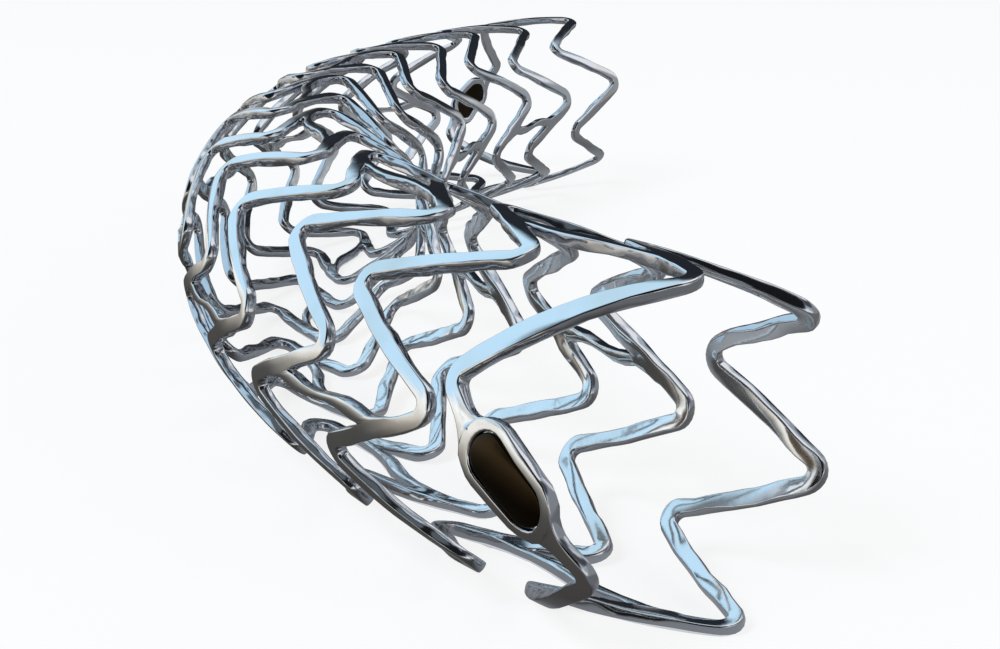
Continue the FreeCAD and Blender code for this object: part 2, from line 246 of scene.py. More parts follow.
class ScaffoldStudio(bpy.types.PropertyGroup):
    """Floor, light dome and camera."""

    floor_size: length("Floor size", "Side of the floor", 1200)
    dome_radius: length("Dome radius", "Radius of the light dome, and half the painted reflection ground's side", 500)
    camera_place: FloatVectorProperty(
        name="Camera place", description="Where the camera stands, from the bend centre", unit="LENGTH",
        precision=6, default=(21.480 * MM, -12.059 * MM, 4.577 * MM),
    )
    camera_turn: FloatVectorProperty(
        name="Camera turn", description="How the camera is turned", subtype="EULER",
        default=tuple(math.radians(a) for a in (73.720, -0.246, 88.107)),
    )
    camera_lens: FloatProperty(
        name="Lens", description="Focal length on a 36 mm sensor", default=58.63, subtype="DISTANCE_CAMERA"
    )


def between(start, end, share):
    """Spot at a share of the way from one spot to another."""
    return start[0] + (end[0] - start[0]) * share, start[1] + (end[1] - start[1]) * share


def eased(share, start, leaving, arriving, end):
    """Value at a share of a cubic from start to end with a pull at each of them."""
    rest = 1 - share
    near = rest ** 3 * start + 3 * rest ** 2 * share * (start + leaving)
    far = 3 * rest * share ** 2 * (end - arriving) + share ** 3 * end
    return near + far


def put(name, data):
    """Object of a mesh, a lamp or a camera, put into the scene."""
    made = bpy.data.objects.new(name, data)
    bpy.context.scene.collection.objects.link(made)
    return made


def put_shape(name, shape):
    """Object of a shape that is still being edited, and the end of its editing."""
    data = bpy.data.meshes.new(name)
    shape.to_mesh(data)
    shape.free()
    return put(name, data)


class Grid:
    """Flat grid on the outer skin about one spot: x along the tube, y around it."""

    def __init__(self, sizes, origin):
        self.radius = sizes.outer_diameter / 2
        self.along, self.around = origin
        self.stretch = 1 + self.radius * math.cos(self.around) / sizes.bend_radius

    def flat(self, spot):
        """Place of a spot on the grid."""
        return (spot[0] - self.along) * self.stretch, (spot[1] - self.around) * self.radius

    def spot(self, x, y):
        """Spot of a place on the grid."""
        return self.along + x / self.stretch, self.around + y / self.radius


def apart(sizes, start, end):
    """How far apart two spots are on the outer skin."""
    return math.hypot(*Grid(sizes, start).flat(end))


class Skin:
    """Mesh of bands on the bent tube, kept as points and faces until it is made an object."""

    def __init__(self, sizes, finish):
        self.sizes = sizes
        self.finish = finish
        self.points = []
        self.faces = []
        self.cut = []

    def place(self, spot, depth):
        """Point of a spot, at a depth under the outer skin."""
        along, around = spot
        sizes = self.sizes
        middle = (sizes.ring_count - 1) * sizes.ring_pitch / 2
        turn = (along - middle) / sizes.bend_radius
        radius = sizes.outer_diameter / 2 - depth
        reach = sizes.bend_radius + radius * math.cos(around)
        point = Vector((-reach * math.sin(turn), -reach * math.cos(turn), radius * math.sin(around)))
        return point + Vector(sizes.bend_centre)

    def wander(self, spot, depth):
        """How far polishing has moved an edge sideways: little on the outer skin, more on the inner."""
        point = self.place(spot, depth)
        finish = self.finish
        share = finish.outer_wobble + (1 - finish.outer_wobble) * depth / self.sizes.wall
        return noise.noise(point / finish.wobble_length) * finish.wobble * share

    def swelling(self, spot, depth):
        """How far polishing has sunk the outer skin, or raised the inner one, at a spot and depth."""
        finish = self.finish
        share = depth / self.sizes.wall
        lumps = noise.noise(self.place(spot, 0) / finish.swell_length)
        return lumps * ((1 - share) * finish.swell - share * finish.inner_swell)

    def edge_arc(self, first, last):
        """Part of an outer edge's round, from its cut wall toward the skin, as insets and depths."""
        edge = self.finish.edge_round
        turns = [QUARTER * n / (SKIN_SPANS - 2) for n in range(first, last)]
        return [(edge * (1 - math.cos(turn)), edge * (1 - math.sin(turn))) for turn in turns]

    def half_skin(self, square):
        """Skin from an edge of a cross-section inward, as insets and depths."""
        half = SKIN_SPANS // 2
        if square:
            return [(self.finish.edge_round * n / (half - 1), 0) for n in range(half)]
        return [self.barrelled(*point) for point in self.edge_arc(half - 1, SKIN_SPANS - 1)]

    def cut_wall(self, square):
        """Cut wall of a cross-section from under its outer edge down, as insets and depths."""
        edge, wall = self.finish.edge_round, self.sizes.wall
        upper = self.edge_arc(0, SKIN_SPANS // 2 - 1)[::-1]
        upper.append((0, (edge + wall / 2) / 2))
        points = upper + [(0, wall / 2)] + [(inset, wall - depth) for inset, depth in upper[::-1]]
        return points if square else [self.barrelled(*point) for point in points]

    def barrelled(self, inset, depth):
        """Inset and depth of a point, moved in as far as its cut wall falls back there."""
        return inset + self.finish.barrel * (1 - 2 * depth / self.sizes.wall) ** 2, depth

    def profile(self, width, square):
        """Rounded outline of a cross-section, as offsets from its left edge and depths.

        It runs over the outer skin, down the right side, back under the inner skin and up the left
        side. A side in square keeps its full edge.
        """
        wall = self.sizes.wall
        left, right = (self.half_skin(side in square) for side in (LEFT, RIGHT))
        skin = left + [(width / 2, 0)] + [(width - inset, depth) for inset, depth in right[::-1]]
        under = [(x, wall - depth) for x, depth in skin[::-1]]
        left, right = (self.cut_wall(side in square) for side in (LEFT, RIGHT))
        return skin + [(width - inset, depth) for inset, depth in right] + under + left[::-1]

    def section(self, left, right, square=()):
        """Cross-section between two edges of a band, as the numbers of its points."""
        width = apart(self.sizes, right, left)
        points = []
        for x, depth in self.profile(width, square):
            share = x / width
            moved = (1 - share) * self.wander(left, depth) + share * self.wander(right, depth)
            spot = between(left, right, share + moved / width)
            points.append(self.place(spot, depth + self.swelling(spot, depth)))
        first = len(self.points)
        self.points += points
        return list(range(first, first + len(points)))

    def join(self, first, second, door=None):
        """Faces between two cross-sections, but for a side that is a door."""
        skipped = range(0)
        if door == RIGHT:
            skipped = range(SKIN_SPANS, SKIN_SPANS + SIDE_SPANS)
        elif door == LEFT:
            skipped = range(2 * SKIN_SPANS + SIDE_SPANS, LOOP)
        for n in range(LOOP):
            if n not in skipped:
                after = (n + 1) % LOOP
                self.faces.append((first[n], first[after], second[after], second[n]))
                self.cut.append(n % (SKIN_SPANS + SIDE_SPANS) >= SKIN_SPANS)

    def chain(self, sections, doors=()):
        """Joins a row of cross-sections; doors holds a side for each span that has one open."""
        for n in range(len(sections) - 1):
            self.join(sections[n], sections[n + 1], dict(doors).get(n))

    def mesh(self, name):
        """Object of all the bands. It is one closed mesh, or the script stops."""
        data = bpy.data.meshes.new(name)
        data.from_pydata([tuple(point) for point in self.points], [], self.faces)
        shape = bmesh.new()
        shape.from_mesh(data)
        bmesh.ops.recalc_face_normals(shape, faces=shape.faces)
        open_edges = [edge for edge in shape.edges if len(edge.link_faces) != 2]
        shape.to_mesh(data)
        shape.free()
        if open_edges:
            raise RuntimeError(f"{name} has {len(open_edges)} edges that aren't between two faces")
        data.polygons.foreach_set("use_smooth", [True] * len(data.polygons))
        data.polygons.foreach_set("material_index", [int(cut) for cut in self.cut])
        piece = put(name, data)
        piece.modifiers.new("flat skins", "WEIGHTED_NORMAL").weight = LARGE_FACE_WEIGHT
        return piece


def door_section(sections, side, leaving):
    """Rim of a door, in a cross-section's order for the band that leaves or arrives there."""
    if side == LEFT:
        top, bottom = 0, 2 * SKIN_SPANS + SIDE_SPANS
        down = list(range(LOOP - 1, bottom, -1))
    else:
        top, bottom = SKIN_SPANS, SKIN_SPANS + SIDE_SPANS
        down = list(range(top + 1, bottom))
    if side == RIGHT and leaving:
        sections = sections[::-1]
    rim = [section[top] for section in sections]
    rim += [sections[-1][n] for n in down]
    rim += [section[bottom] for section in reversed(sections)]
    rim += [sections[0][n] for n in reversed(down)]
    return rim


class Crown:
    """Rounded crown between two struts, as a row of stations."""

    def __init__(self, sizes, before, corner, after):
        grid = Grid(sizes, corner)
        before_x, before_y = grid.flat(before)
        after_x, after_y = grid.flat(after)
        arriving = math.atan2(-before_y, -before_x)
        leaving = math.atan2(after_y, after_x)
        turn = (leaving - arriving + math.pi) % FULL - math.pi
        hand = math.copysign(1, turn)
        radius = sizes.crown_radius
        reach = radius * math.tan(abs(turn) / 2)
        side = arriving - hand * QUARTER
        centre_x = -reach * math.cos(arriving) - radius * math.cos(side)
        centre_y = -reach * math.sin(arriving) - radius * math.sin(side)
        self.stations = []
        for n in range(CROWN_SPANS + 1):
            way = side + turn * n / CROWN_SPANS
            pair = []
            for distance in (radius - sizes.strut_width / 2, radius + sizes.strut_width / 2):
                x = centre_x + distance * math.cos(way)
                y = centre_y + distance * math.sin(way)
                pair.append(grid.spot(x, y))
            self.stations.append(tuple(pair) if hand > 0 else tuple(pair[::-1]))


class Strut:
    """Straight run of a ring from one crown to the next, with a door where a link meets it."""

    def __init__(self, sizes, start, end, belly=0):
        self.sizes = sizes
        self.start = start
        self.end = end
        self.belly = belly
        self.door = None
        self.roots = None
        self.door_rim = None

    def at(self, side, share):
        """Spot of an edge at a share of the run; a belly moves it out, most of all halfway."""
        left, right = (between(self.start[n], self.end[n], share) for n in (LEFT, RIGHT))
        spread = self.belly / self.sizes.strut_width * math.sin(math.pi * share)
        return between(right, left, 1 + spread) if side == LEFT else between(left, right, 1 + spread)

    def land(self, side, way):
        """Opens a door on a side for a link at an angle; gives the link's two corners and two roots."""
        sizes = self.sizes
        first, last = self.start[side][1], self.end[side][1]
        half = sizes.link_width / sizes.outer_diameter
        upper = (first - way - half) / (first - last)
        lower = (first - way + half) / (first - last)
        reach = sizes.link_fillet / apart(sizes, self.start[side], self.end[side])
        blunt_above = (self.end[side][0] > self.start[side][0]) == (side == LEFT)
        self.roots = (upper - reach, lower) if blunt_above else (upper, lower + reach)
        self.door = side
        corners = [self.at(side, share) for share in (upper, lower)]
        return corners, [self.at(side, share) for share in self.roots]

    def build(self, skin, first, last):
        """Joins the strut's cross-sections between those of its two crowns."""
        if self.door is None:
            shares = [n / STRUT_SPANS for n in range(1, STRUT_SPANS)]
            opened = range(0)
        else:
            above, below = self.roots
            shares = [above * n / LANDING_SPANS for n in range(1, LANDING_SPANS)]
            shares += [above + (below - above) * n / SKIN_SPANS for n in range(SKIN_SPANS + 1)]
            shares += [below + (1 - below) * n / LANDING_SPANS for n in range(1, LANDING_SPANS)]
            opened = range(LANDING_SPANS, LANDING_SPANS + SKIN_SPANS)
        sections = [first]
        for n, share in enumerate(shares, start=1):
            square = (self.door,) if n in opened or n - 1 in opened else ()
            sections.append(skin.section(self.at(LEFT, share), self.at(RIGHT, share), square))
        sections.append(last)
        skin.chain(sections, [(n, self.door) for n in opened])
        if self.door is not None:
            self.door_rim = door_section(sections[opened[0]:opened[-1] + 2], self.door, self.door == LEFT)


class Eyelet:
    """Oblong eyelet in the middle of a strut, laid out on its own axis, u forward and v to the left."""

    def __init__(self, sizes, before, after):
        self.sizes = sizes
        self.grid = Grid(sizes, between(before, after, 0.5))
        forward = math.copysign(math.cos(sizes.eyelet_tilt), after[0] - before[0])
        self.heading = math.atan2(-math.sin(sizes.eyelet_tilt), forward)
        self.half_run = (sizes.marker_length - sizes.marker_width) / 2
        self.hole_radius = sizes.marker_width / 2
        self.rim_radius = self.hole_radius + sizes.eyelet_wall
        flare = sizes.eyelet_flare
        self.exit = [self.on_arc(1, way, self.rim_radius) for way in (flare, -flare)]
        self.entry = [self.on_arc(-1, math.pi + way, self.rim_radius) for way in (-flare, flare)]

    def spot(self, u, v):
        """Spot of a place on the eyelet's own axes."""
        cosine, sine = math.cos(self.heading), math.sin(self.heading)
        return self.grid.spot(u * cosine - v * sine, u * sine + v * cosine)

    def on_arc(self, end, way, radius):
        """Spot on an arc about the middle of an end, 1 forward and -1 back; end 0 is halfway."""
        return self.spot(end * self.half_run + radius * math.cos(way), radius * math.sin(way))

    def turns(self):
        """Where the outline's stations stand, each an end and an angle, from the exit's door round."""
        flare = self.sizes.eyelet_flare
        rows = (
            (1, -flare, flare, SKIN_SPANS),
            (1, flare, QUARTER, ROUND_SPANS),
            (-1, QUARTER, math.pi - flare, ROUND_SPANS),
            (-1, math.pi - flare, math.pi + flare, SKIN_SPANS),
            (-1, math.pi + flare, 3 * QUARTER, ROUND_SPANS),
            (1, -QUARTER, -flare, ROUND_SPANS),
        )
        stations = []
        for end, first, last, spans in rows:
            stations += [(end, first + (last - first) * n / spans) for n in range(spans)]
            if min(abs(last - QUARTER), abs(last - 3 * QUARTER)) < SAME_ANGLE:
                stations += [(end, last), (0, last)]
        return stations

    def build(self, skin):
        """Joins the ring of metal round the hole and gives the rims of its exit and entry doors."""
        places = self.turns()
        door = math.pi - self.sizes.eyelet_flare - SAME_ANGLE
        entry = next(n for n, (end, way) in enumerate(places) if end == -1 and way > door)
        opened = {n: RIGHT for first in (0, entry) for n in range(first, first + SKIN_SPANS)}
        sections = []
        for n, (end, way) in enumerate(places):
            square = (RIGHT,) if n in opened or n - 1 in opened else ()
            sections.append(skin.section(
                self.on_arc(end, way, self.hole_radius), self.on_arc(end, way, self.rim_radius), square
            ))
        skin.chain(sections + sections[:1], opened.items())
        leaving = door_section(sections[:SKIN_SPANS + 1], RIGHT, True)
        arriving = door_section(sections[entry:entry + SKIN_SPANS + 1], RIGHT, False)
        return leaving, arriving

    def strut_heading(self, station):
        """Direction of a band at one of its stations, square to the line from right to left."""
        left, right = self.grid.flat(station[LEFT]), self.grid.flat(station[RIGHT])
        return math.atan2(right[0] - left[0], left[1] - right[1])

    def flare(self, start, end, start_headings, end_headings):
        """Stations between a strut's end and a door, where the band widens or narrows."""
        stations = []
        for n in range(1, FLARE_SPANS):
            share = n / FLARE_SPANS
            pair = []
            for side in (LEFT, RIGHT):
                first = self.grid.flat(start[side])
                last = self.grid.flat(end[side])
                pull = math.hypot(last[0] - first[0], last[1] - first[1]) * FLARE_PULL
                pair.append(self.grid.spot(*[
                    eased(share, first[axis], pull * turn(start_headings[side]),
                          pull * turn(end_headings[side]), last[axis])
                    for axis, turn in ((0, math.cos), (1, math.sin))
                ]))
            stations.append(tuple(pair))
        return stations

    def spreads(self):
        """Headings of a flare's edges, where it opens toward the eyelet and where it closes behind it."""
        flare = self.sizes.eyelet_flare
        opening = (self.heading + QUARTER - flare, self.heading - QUARTER + flare)
        return opening, opening[::-1]


class Marker:
    """Marker in an eyelet's hole: a pill with rounded rims and two gently domed skins."""

    def __init__(self, skin, eyelet):
        self.skin = skin
        self.eyelet = eyelet

    def profile(self):
        """Distances from the pill's core line, and depths, from the middle of one skin to the other's."""
        finish = self.skin.finish
        wall = self.skin.sizes.wall
        reach = self.eyelet.hole_radius - finish.marker_seam
        rim = finish.marker_round
        flat = reach - rim
        rows = []
        for n in range(DOME_SPANS):
            distance = flat * n / DOME_SPANS
            rows.append((distance, finish.marker_sink - finish.marker_dome * (1 - (distance / flat) ** 2)))
        for n in range(RIM_SPANS + 1):
            turn = QUARTER * n / RIM_SPANS
            rows.append((flat + rim * math.sin(turn), finish.marker_sink + rim * (1 - math.cos(turn))))
        return rows + [(distance, wall - depth) for distance, depth in rows[::-1]]

    def outline(self):
        """Core spots and directions round the pill, with each end turned and both sides run along."""
        run = self.eyelet.half_run
        stations = []
        for end, first in ((1, -QUARTER), (-1, QUARTER)):
            for n in range(END_SPANS):
                stations.append((end * run, first + math.pi * n / END_SPANS))
            for n in range(EDGE_SPANS):
                stations.append((end * run * (1 - 2 * n / EDGE_SPANS), first + math.pi))
        return stations

    def build(self, name):
        """Object of the marker. Both its skins close along the core line, where their points meet."""
        shape = bmesh.new()
        rings = []
        for distance, depth in self.profile():
            ring = []
            for core, way in self.outline():
                spot = self.eyelet.spot(core + distance * math.cos(way), distance * math.sin(way))
                ring.append(shape.verts.new(self.skin.place(spot, depth)))
            rings.append(ring)
        for ring, following in zip(rings, rings[1:]):
            for n in range(len(ring)):
                shape.faces.new((ring[n - 1], ring[n], following[n], following[n - 1]))
        bmesh.ops.remove_doubles(shape, verts=shape.verts, dist=SAME_POINT)
        bmesh.ops.recalc_face_normals(shape, faces=shape.faces)
        for face in shape.faces:
            face.smooth = True
        return put_shape(name, shape)


class Lattice:
    """Plan of every ring's corners, struts, links and eyelets, and the mesh built from it."""

    def __init__(self, sizes, finish):
        self.sizes = sizes
        self.skin = Skin(sizes, finish)
        self.eyelets = []
        self.rings = [self.plan_ring(ring) for ring in range(sizes.ring_count)]
        self.links = []
        for gap in range(sizes.ring_count - 1):
            for way in self.link_angles(gap):
                near, turned_way = self.strut_at(gap, way)
                far, _ = self.strut_at(gap + 1, way)
                self.links.append((near, near.land(LEFT, turned_way), far, far.land(RIGHT, turned_way)))

    def corners(self, ring):
        """Corners of a ring's zigzag; in an end ring two wide-set ones beside the eyelet replace four."""
        sizes = self.sizes
        sign = 1 if ring % 2 == 0 else -1
        outward = {0: -1, sizes.ring_count - 1: 1}.get(ring, 0)
        middle = ring * sizes.ring_pitch - sign * sizes.ring_stagger / 2 + outward * sizes.end_gap
        first = sizes.ring_roll + sign * sizes.ring_sway
        step = math.pi / sizes.crown_count
        spots = []
        for n in range(2 * sizes.crown_count):
            side = -1 if n % 2 == 0 else 1
            spots.append((middle + side * sizes.ring_length / 2, first - n * step))
        if not outward:
            return spots, None
        # The corners 1 to 4 give way to the wide-set two, between the corners 0 and 5.
        centre = (spots[0][1] + spots[5][1]) / 2 - sizes.eyelet_roll
        above, below = spots[1][0], spots[2][0]
        if outward < 0:
            below += sizes.eyelet_recess
            spots[0] = (spots[0][0] + sizes.eyelet_recess, spots[0][1] + sizes.eyelet_lean)
        else:
            above -= sizes.eyelet_recess
            spots[5] = (spots[5][0] - sizes.eyelet_recess, spots[5][1] - sizes.eyelet_lean)
        wide = [(above, centre + sizes.eyelet_span / 2), (below, centre - sizes.eyelet_span / 2)]
        return [spots[0], *wide, *spots[5:]], 1

    def plan_ring(self, ring):
        """Crowns of a ring, its struts and eyelet, and the station where each of those ends.

        The broad strut comes just before the eyelet in the first ring, and just after it in the last.
        """
        spots, carrier = self.corners(ring)
        broad = {0: 0, self.sizes.ring_count - 1: 2}.get(ring)
        around = [(spots[-1][0], spots[-1][1] + FULL), *spots, (spots[0][0], spots[0][1] - FULL)]
        crowns = [Crown(self.sizes, *around[n:n + 3]) for n in range(len(spots))]
        following = [crown.stations[0] for crown in crowns[1:]]
        following.append(tuple((along, way - FULL) for along, way in crowns[0].stations[0]))
        runs = []
        for n, crown in enumerate(crowns):
            if n == carrier:
                runs.append(Eyelet(self.sizes, spots[n], spots[n + 1]))
                self.eyelets.append(runs[-1])
            else:
                belly = self.sizes.broad_belly if n == broad else 0
                runs.append(Strut(self.sizes, crown.stations[-1], following[n], belly))
        return crowns, runs, following

    def link_angles(self, gap):
        """Angles of the two links in a gap: top and bottom in even gaps, both sides in odd ones.

        They are counted in corners from the first one, and a strut's middle is half a corner on.
        """
        sizes = self.sizes
        step = math.pi / sizes.crown_count
        quarter = 2 * (sizes.crown_count // 4) + 1
        first = -0.5 if gap % 2 == 0 else quarter - 0.5
        opposite = 2 * (sizes.crown_count // 2)
        return [sizes.ring_roll - (first + extra) * step for extra in (0, opposite)]

    def strut_at(self, ring, way):
        """The strut of a ring that crosses an angle, and that angle as the strut counts its own."""
        for run in self.rings[ring][1]:
            if isinstance(run, Strut):
                for counted in (way, way - FULL):
                    if run.end[LEFT][1] < counted < run.start[LEFT][1]:
                        return run, counted
        raise RuntimeError("no strut crosses the angle of a link")

    def build_ring(self, crowns, runs, following):
        """Joins the crowns of a ring by its struts, and by the eyelet with its two flares."""
        skin = self.skin
        rows = [[skin.section(*station) for station in crown.stations] for crown in crowns]
        for row in rows:
            skin.chain(row)
        for n, run in enumerate(runs):
            first, last = rows[n][-1], rows[(n + 1) % len(rows)][0]
            if isinstance(run, Strut):
                run.build(skin, first, last)
                continue
            leaving, arriving = run.build(skin)
            opening, closing = run.spreads()
            start, end = crowns[n].stations[-1], following[n]
            straight = [run.strut_heading(start)] * 2
            into = run.flare(start, run.entry, straight, opening)
            skin.chain([first, *(skin.section(*station) for station in into), arriving])
            straight = [run.strut_heading(end)] * 2
            out = run.flare(run.exit, end, closing, straight)
            skin.chain([leaving, *(skin.section(*station) for station in out), last])

    def link_edge(self, corners, roots, share):
        """Spot of a link's edge at a share of its run, wavy, and spread toward its roots at both ends."""
        sizes = self.sizes
        fillet = sizes.link_fillet / apart(sizes, *corners)
        along, around = between(*corners, share)
        run = min(max((share - fillet) / (1 - 2 * fillet), 0), 1)
        around += sizes.link_wave * math.sin(FULL * run) * 2 / sizes.outer_diameter
        for corner, root, near in ((corners[0], roots[0], share), (corners[1], roots[1], 1 - share)):
            spread = max(1 - near / fillet, 0) ** 2
            along += (root[0] - corner[0]) * spread
            around += (root[1] - corner[1]) * spread
        return along, around

    def build_link(self, near, near_land, far, far_land):
        """Joins two struts by a link, from the door of the one to the door of the other."""
        fillet = self.sizes.link_fillet / apart(self.sizes, near_land[0][0], far_land[0][0])
        shares = [fillet * n / FILLET_SPANS for n in range(1, FILLET_SPANS)]
        shares += [fillet + (1 - 2 * fillet) * n / LINK_SPANS for n in range(LINK_SPANS + 1)]
        shares += [1 - fillet * n / FILLET_SPANS for n in range(FILLET_SPANS - 1, 0, -1)]
        sections = [near.door_rim]
        for share in shares:
            station = [
                self.link_edge((near_land[0][n], far_land[0][n]), (near_land[1][n], far_land[1][n]), share)
                for n in (LEFT, RIGHT)
            ]
            sections.append(self.skin.section(*station))
        self.skin.chain([*sections, far.door_rim])

    def build(self, name):
        """Object of the whole lattice. The rings come first, because they make the links' doors."""
        for ring in self.rings:
            self.build_ring(*ring)
        for link in self.links:
            self.build_link(*link)
        return self.skin.mesh(name)


def node(tree, kind, links=(), **settings):
    """Adds a shader node with its settings and links.

    A setting that the node doesn't have sets the socket of that name, with a space for each underscore.
    """
    made = tree.nodes.new("ShaderNode" + kind)
    for key, value in settings.items():
        if hasattr(made, key):
            setattr(made, key, value)
        else:
            made.inputs[key.replace("_", " ")].default_value = value
    for socket, source in dict(links).items():
        tree.links.new(source, made.inputs[socket])
    return made


def new_material(name):
    """Material and its empty tree."""
    material = bpy.data.materials.new(name)
    material.use_nodes = True
    material.node_tree.nodes.clear()
    return material, material.node_tree


def electropolished_magnesium(finish):
    """Magnesium alloy tube, laser-cut and electropolished.

    The bath leaves a bright, soft-edged mirror with a faint orange peel and, in patches, a thin warm
    film, so that highlights stay sharp while broad faces shade from clear to slightly milky.
    """
    material, tree = new_material("magnesium alloy, electropolished")
    place = {"Vector": node(tree, "TexCoord").outputs["Object"]}
    film = node(tree, "TexNoise", place, Scale=1 / FILM_PATCH, Detail=2)
    film_share = node(
        tree, "MapRange", {"Value": film.outputs["Fac"]}, From_Min=0.5, From_Max=0.72, To_Max=0.35
    )
    tint = node(
        tree, "Mix", {"Factor": film_share.outputs["Result"]},
        data_type="RGBA", A=finish.metal_colour, B=finish.film_colour,
    )
    haze = node(tree, "TexNoise", place, Scale=1 / HAZE_PATCH, Detail=3)
    roughness = node(
        tree, "MapRange", {"Value": haze.outputs["Fac"]},
        From_Min=0.3, From_Max=0.7, To_Min=0.05, To_Max=0.13,
    )
    peel = node(tree, "TexNoise", place, Scale=1 / PEEL_PATCH, Detail=1)
    bump = node(tree, "Bump", {"Height": peel.outputs["Fac"]}, Strength=0.25, Distance=PEEL_HEIGHT)
    links = {
        "Base Color": tint.outputs["Result"],
        "Roughness": roughness.outputs["Result"],
        "Normal": bump.outputs["Normal"],
    }
    shader = node(tree, "BsdfPrincipled", links, Metallic=1)
    node(tree, "OutputMaterial", {"Surface": shader.outputs["BSDF"]})
    return material


def laser_cut_magnesium(finish):
    """Magnesium alloy, cut by laser and etched bright.

    The cut walls keep the melted drops and ripples of the cut, softened by the bath: small bright
    and dark lumps along every side.
    """
    material, tree = new_material("magnesium alloy, laser-cut and etched")
    place = {"Vector": node(tree, "TexCoord").outputs["Object"]}
    drops = node(tree, "TexNoise", place, Scale=1 / DROP_PATCH, Detail=0)
    bump = node(tree, "Bump", {"Height": drops.outputs["Fac"]}, Strength=1, Distance=DROP_HEIGHT)
    shader = node(
        tree, "BsdfPrincipled", {"Normal": bump.outputs["Normal"]},
        Base_Color=finish.cut_colour, Metallic=1, Roughness=0.12,
    )
    node(tree, "OutputMaterial", {"Surface": shader.outputs["BSDF"]})
    return material


def oxidised_tantalum(finish):
    """Tantalum inlay, punched, polished and darkened by a thick oxide.

    Dense brown-black metal that mirrors what is bright round it as a dull gold, and is black elsewhere.
    """
    material, tree = new_material("tantalum, polished and oxidised")
    place = {"Vector": node(tree, "TexCoord").outputs["Object"]}
    haze = node(tree, "TexNoise", place, Scale=1 / OXIDE_PATCH, Detail=3)
    roughness = node(
        tree, "MapRange", {"Value": haze.outputs["Fac"]},
        From_Min=0.3, From_Max=0.7, To_Min=0.14, To_Max=0.24,
    )
    shader = node(
        tree, "BsdfPrincipled", {"Roughness": roughness.outputs["Result"]},
        Base_Color=finish.marker_colour, Metallic=1,
    )
    node(tree, "OutputMaterial", {"Surface": shader.outputs["BSDF"]})
    return material


class SCAFFOLD_OT_lattice(bpy.types.Operator):
    """Build the rings, links and eyelets as one polished mesh"""

    bl_idname = "scaffold.lattice"
    bl_label = "Lattice"

    def execute(self, context):
        settings = context.scene
        lattice = Lattice(settings.scaffold_sizes, settings.scaffold_finish)
        piece = lattice.build("lattice")
        piece.data.materials.append(electropolished_magnesium(settings.scaffold_finish))
        piece.data.materials.append(laser_cut_magnesium(settings.scaffold_finish))
        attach(piece, "root")
        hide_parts("scaffold")
        return {"FINISHED"}


class SCAFFOLD_OT_markers(bpy.types.Operator):
    """Set the two marker inlays into their eyelets"""

    bl_idname = "scaffold.markers"
    bl_label = "Markers"

    def execute(self, context):
        settings = context.scene
        lattice = Lattice(settings.scaffold_sizes, settings.scaffold_finish)
        material = oxidised_tantalum(settings.scaffold_finish)
        for end, eyelet in zip(("proximal", "distal"), lattice.eyelets):
            piece = Marker(lattice.skin, eyelet).build(f"{end}_inlay")
            piece.data.materials.append(material)
            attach(piece, "root")
            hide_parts(f"{end}_marker")
        return {"FINISHED"}


def flat_square(name, side):
    """Level square about the origin."""
    half = side / 2
    corners = [(-half, -half, 0), (half, -half, 0), (half, half, 0), (-half, half, 0)]
    data = bpy.data.meshes.new(name)
    data.from_pydata(corners, [], [(0, 1, 2, 3)])
    return put(name, data)


def looked_at(tree):
    """Socket that is 1 where the camera, metal or glass looks straight at something, and 0 elsewhere."""
    path = node(tree, "LightPath")
    looks = {0: path.outputs["Is Camera Ray"], 1: path.outputs["Is Glossy Ray"]}
    seen = node(tree, "Math", looks, operation="MAXIMUM")
    looks = {0: seen.outputs[0], 1: path.outputs["Is Transmission Ray"]}
    return node(tree, "Math", looks, operation="MAXIMUM").outputs[0]


def white_floor():
    """Matt white board. What the camera, metal and glass see of it is brought up to white, shadow kept."""
    material, tree = new_material("white board, matt")
    board = node(tree, "BsdfDiffuse", Color=linear(BOARD_TONE))
    glow = node(tree, "Emission", Color=linear("#FFFFFF"))
    share = node(tree, "MapRange", {"Value": looked_at(tree)}, To_Max=BOARD_GLOW)
    mixed = {0: share.outputs["Result"], 1: board.outputs[0], 2: glow.outputs[0]}
    mix = node(tree, "MixShader", mixed)
    node(tree, "OutputMaterial", {"Surface": mix.outputs[0]})
    return material


def mirrored_only(piece):
    """Keeps a piece of the stage for what polished metal mirrors: no camera, no light, no shadow."""
    piece.visible_camera = False
    piece.visible_diffuse = False
    piece.visible_shadow = False


def light_dome(radius):
    """Upper half of a ball about the middle of the floor."""
    shape = bmesh.new()
    bmesh.ops.create_icosphere(shape, subdivisions=DOME_SUBDIVISIONS, radius=radius)
    below = [face for face in shape.faces if face.calc_center_median().z < 0]
    bmesh.ops.delete(shape, geom=below, context="FACES")
    return put_shape("light dome", shape)


def fill_ramp(ramp, stops):
    """Gives a colour ramp its stops, each a position and a tone. It has two to begin with."""
    for n, (position, tone) in enumerate(stops):
        stop = ramp.elements[n] if n < 2 else ramp.elements.new(position)
        stop.position = position
        stop.color = linear(tone)


